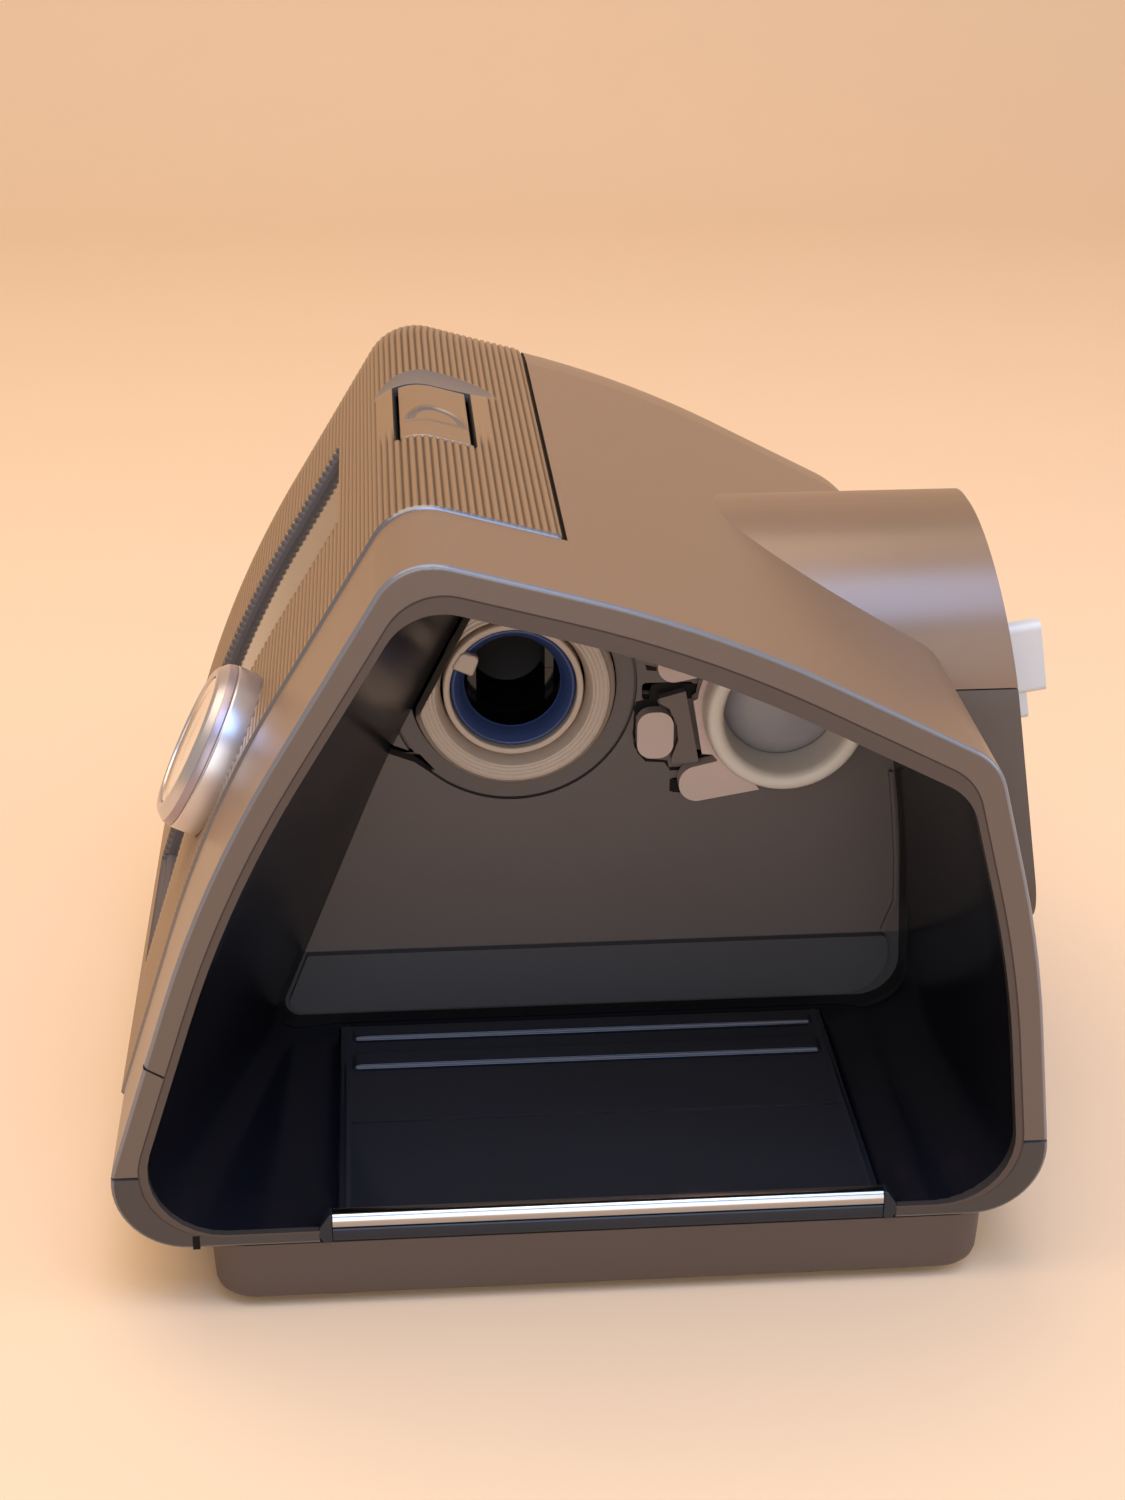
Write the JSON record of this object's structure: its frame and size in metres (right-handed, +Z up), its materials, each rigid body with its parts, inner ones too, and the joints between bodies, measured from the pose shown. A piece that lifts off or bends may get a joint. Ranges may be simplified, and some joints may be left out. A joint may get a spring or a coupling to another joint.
{
  "type": "cpap machine",
  "caption": "Bedside airway pressure machine with a ribbed front, display channel, push-and-turn knob, power button and an open side bay with heater plate and air ports.",
  "frame": {"origin": "on the table, under the middle of the rubber mat's plane, where the machine's height starts", "axes": "+X out of the open bay, +Y towards the rear with the air outlet, +Z up"},
  "size_m": [0.17, 0.1668, 0.1336],
  "materials": {
    "casing": "satin warm taupe",
    "cover": "satin dark brown-grey",
    "tray": "satin warm taupe",
    "plinth": "matt near-black",
    "steel": "bright steel",
    "rubber": "matt black",
    "fascia": "satin champagne with fine ribs",
    "switch": "matt",
    "board": "solder mask",
    "channel": "satin dark brown",
    "glass": "polished dark",
    "module": "matt",
    "knob": "satin silver",
    "knob_face": "polished, slightly dished",
    "beige": "matt beige",
    "liner": "matt near-black brown",
    "panel": "matt dark brown",
    "heater": "dark anodised",
    "element": "plain",
    "bar": "polished dark",
    "black": "matt black",
    "blue": "satin blue",
    "silicone": "translucent cream",
    "duct": "satin grey",
    "housing": "matt",
    "wheel": "matt",
    "foam": "filter foam, open weave"
  },
  "bodies": {
    "machine": {"main_casing": "casing", "rear_cover": "cover", "base_tray": "tray", "plinth": "plinth", "case_screws": "steel", "rubber_mat": "rubber", "ribbed_fascia": "fascia", "power_switch": "switch", "switch_board": "board", "channel_frame": "channel", "display_glass": "glass", "control_board": "board", "display_module": "module", "encoder": "module", "bay_liner": "liner", "bay_back_panel": "panel", "heater_springs": "rubber", "sill_bar": "bar", "sill_bar_caps": "black", "port_flange": "beige", "port_tube": "beige", "port_seal": "blue", "return_seal": "silicone", "latch_bar": "panel", "outlet_duct": "duct", "outlet_port": "cover", "blower_lower": "housing", "blower_upper": "housing", "blower_motor": "module", "blower_deck": "black", "main_board": "board", "board_parts": "module", "filter_pad": "foam", "filter_frame": "black", "power_inlet": "black"},
    "push_stem": {"encoder_plunger": "beige"},
    "knob": {"knob_skirt": "knob", "knob_face": "knob_face", "encoder_shaft": "steel"},
    "power_key": {"power_button": "fascia"},
    "latch": {"latch_button": "beige"},
    "lever": {"port_lever": "beige"},
    "fan": {"impeller": "wheel"},
    "hot_plate": {"heater_plate": "heater", "heater_element": "element"},
    "filter_lid": {"filter_door": "cover"}
  },
  "joints": [
    {"name": "knob_push", "type": "slide", "parent": "machine", "child": "push_stem", "axis": [0, 0.891, -0.454], "range_m": [0, 0.0008], "stiffness_N_per_m": 2500, "springref_m": -0.0006},
    {"name": "knob_turn", "type": "hinge", "parent": "push_stem", "child": "knob", "pos_m": [0.04, -0.0571, 0.0828], "axis": [0, -0.891, 0.454], "continuous": true},
    {"name": "power_press", "type": "hinge", "parent": "machine", "child": "power_key", "pos_m": [0.0202, -0.021, 0.1305], "axis": [0, -1, 0], "range_deg": [0, 1.8], "stiffness_Nm_per_rad": 0.6, "springref_deg": -2.86},
    {"name": "latch_press", "type": "slide", "parent": "machine", "child": "latch", "axis": [-1, 0, 0], "range_m": [0, 0.0015], "stiffness_N_per_m": 900, "springref_m": -0.0008},
    {"name": "lever_turn", "type": "hinge", "parent": "machine", "child": "lever", "pos_m": [0.0168, 0.0417, 0.08035], "axis": [1, 0, 0], "range_deg": [0, 5]},
    {"name": "impeller_spin", "type": "hinge", "parent": "machine", "child": "fan", "pos_m": [-0.038, 0.0142, 0.078], "axis": [0, 0, 1], "continuous": true},
    {"name": "heater_plate_press", "type": "slide", "parent": "machine", "child": "hot_plate", "axis": [0, 0, 1], "range_m": [-0.001, 0], "stiffness_N_per_m": 4000, "springref_m": 0.0012, "deforming": ["heater_springs"]},
    {"name": "filter_open", "type": "hinge", "parent": "machine", "child": "filter_lid", "pos_m": [-0.034, 0.0768, 0.0403], "axis": [-1, 0, 0], "range_deg": [0, 60]}
  ]
}
